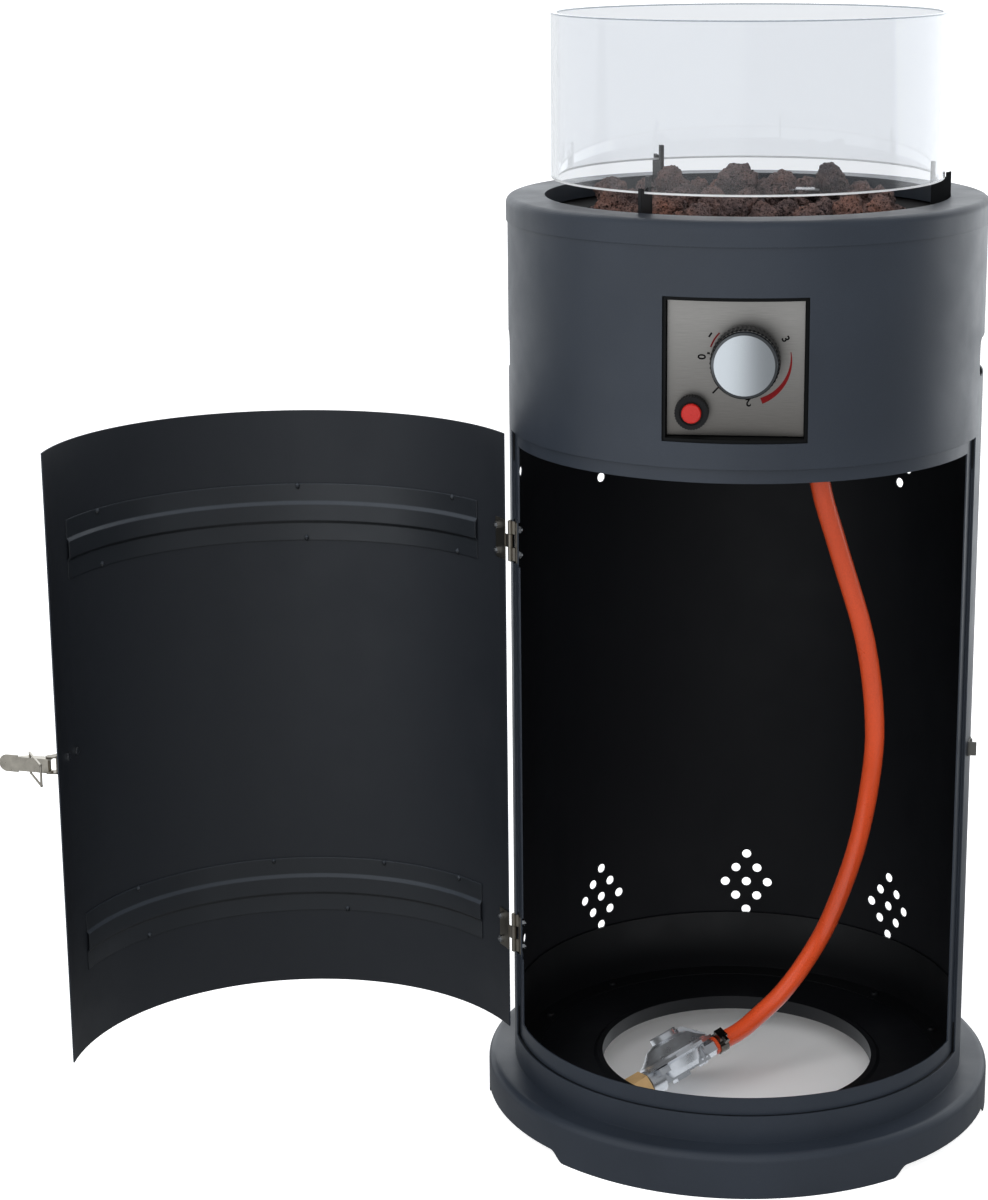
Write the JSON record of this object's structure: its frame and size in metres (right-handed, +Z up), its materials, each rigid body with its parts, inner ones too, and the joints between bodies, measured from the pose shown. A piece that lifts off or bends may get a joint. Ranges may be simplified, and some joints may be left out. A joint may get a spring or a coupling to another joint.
{
  "type": "gas patio heater",
  "caption": "Round free-standing gas fire column: vented bottle cabinet with an open curved door, burner housing with lava rocks and a cylindrical glass wind guard.",
  "frame": {"origin": "on the ground plane under the cabinet's axis, in the plane of the feet", "axes": "+Z up along the cabinet's axis; -Y is the front, where the control panel and the doorway are; +X to the right of someone facing the front"},
  "size_m": [0.8438, 0.447, 0.954],
  "materials": {
    "charcoal_paint": "fine satin powder coat, charcoal",
    "dark_steel": "black enamel",
    "plated_steel": "zinc plated, slightly dull",
    "bright_steel": "bright plated",
    "keeper_steel": "dull galvanised",
    "shield_steel": "aluminised sheet",
    "panel_steel": "brushed stainless",
    "knob_black": "moulded, matt",
    "knob_chrome": "polished rim, satin face",
    "button_red": "moulded, semi-gloss",
    "brass": "machined",
    "die_cast": "die-cast, shot-blasted",
    "copper_pipe": "drawn copper",
    "pan_steel": "heat-browned enamel",
    "ceramic_white": "glazed",
    "lead_sleeve": "silicone sleeve",
    "lava": "porous, broken",
    "clear_glass": "clear, polished edges",
    "hose_orange": "smooth, slightly dull"
  },
  "bodies": {
    "cabinet": {"base": "charcoal_paint", "foot_ring": "dark_steel", "cabinet_wall": "charcoal_paint", "door_frame": "charcoal_paint", "top_ring": "dark_steel", "cabinet_screws": "dark_steel", "upper_hinge_wall_leaf": "plated_steel", "lower_hinge_wall_leaf": "plated_steel", "upper_hinge_pin": "plated_steel", "lower_hinge_pin": "plated_steel", "hinge_wall_bolts": "bright_steel", "keeper": "keeper_steel", "keeper_rivets": "keeper_steel", "housing": "charcoal_paint", "lid": "charcoal_paint", "heat_shield": "shield_steel", "panel_tray": "dark_steel", "panel_plate": "panel_steel", "valve_body": "die_cast", "igniter_body": "knob_black", "igniter_nut": "knob_black", "igniter_lead": "lead_sleeve", "electrode": "ceramic_white", "thermocouple": "copper_pipe", "pilot_shield": "bright_steel", "gas_pipe": "copper_pipe", "injector": "brass", "venturi_tube": "shield_steel", "ring_burner": "shield_steel", "burner_pan": "pan_steel", "lava_rocks": "lava", "left_clip": "dark_steel", "right_clip": "dark_steel", "rear_clip": "dark_steel", "clip_screws": "plated_steel", "hose_elbow": "brass", "hose": "hose_orange", "upper_hose_clamp": "plated_steel", "lower_hose_clamp": "plated_steel", "regulator_body": "die_cast", "regulator_cap": "die_cast"},
    "door": {"door_shell": "charcoal_paint", "upper_stiffener": "charcoal_paint", "lower_stiffener": "charcoal_paint", "upper_hinge_door_leaf": "plated_steel", "lower_hinge_door_leaf": "plated_steel", "hinge_door_bolts": "bright_steel", "latch_base": "plated_steel", "latch_rivets": "bright_steel", "latch_pin": "plated_steel"},
    "lever": {"latch_lever": "bright_steel"},
    "bail": {"latch_bail": "bright_steel"},
    "guard": {"glass": "clear_glass"},
    "tap": {"valve_plug": "brass"},
    "knob": {"valve_stem": "brass", "knob_grip": "knob_black", "knob_cap": "knob_chrome"},
    "button": {"igniter_button": "button_red"},
    "union": {"regulator_nut": "brass"}
  },
  "joints": [
    {"name": "door_hinge", "type": "hinge", "parent": "cabinet", "child": "door", "pos_m": [-0.19572, -0.04663, 0.3365], "axis": [0, 0, 1], "range_deg": [-12, 162.7]},
    {"name": "latch_lever_pivot", "type": "hinge", "parent": "door", "child": "lever", "pos_m": [-0.57567, -0.15405, 0.338], "axis": [0, 0, -1], "range_deg": [-25, 79]},
    {"name": "latch_bail_pivot", "type": "hinge", "parent": "lever", "child": "bail", "pos_m": [-0.59341, -0.15101, 0.338], "axis": [0, 0, -1], "range_deg": [-60, 25]},
    {"name": "glass_lift", "type": "slide", "parent": "cabinet", "child": "guard", "axis": [0, 0, 1], "range_m": [0, 0.15]},
    {"name": "tap_turn", "type": "hinge", "parent": "cabinet", "child": "tap", "pos_m": [0.008, -0.16, 0.6968], "axis": [0, -1, 0], "range_deg": [0, 205]},
    {"name": "knob_push", "type": "slide", "parent": "tap", "child": "knob", "axis": [0, 1, 0], "range_m": [0, 0.005], "stiffness_N_per_m": 800, "springref_m": -0.003},
    {"name": "igniter_push", "type": "slide", "parent": "cabinet", "child": "button", "axis": [0, 1, 0], "range_m": [0, 0.003], "stiffness_N_per_m": 400, "springref_m": -0.003},
    {"name": "union_turn", "type": "hinge", "parent": "cabinet", "child": "union", "pos_m": [-0.08481, -0.05834, 0.01661], "axis": [0.742, 0.6226, 0.2487], "continuous": true}
  ],
  "couplings": [
    {"joint": "latch_bail_pivot", "follows": "latch_lever_pivot", "ratio": -0.692}
  ]
}
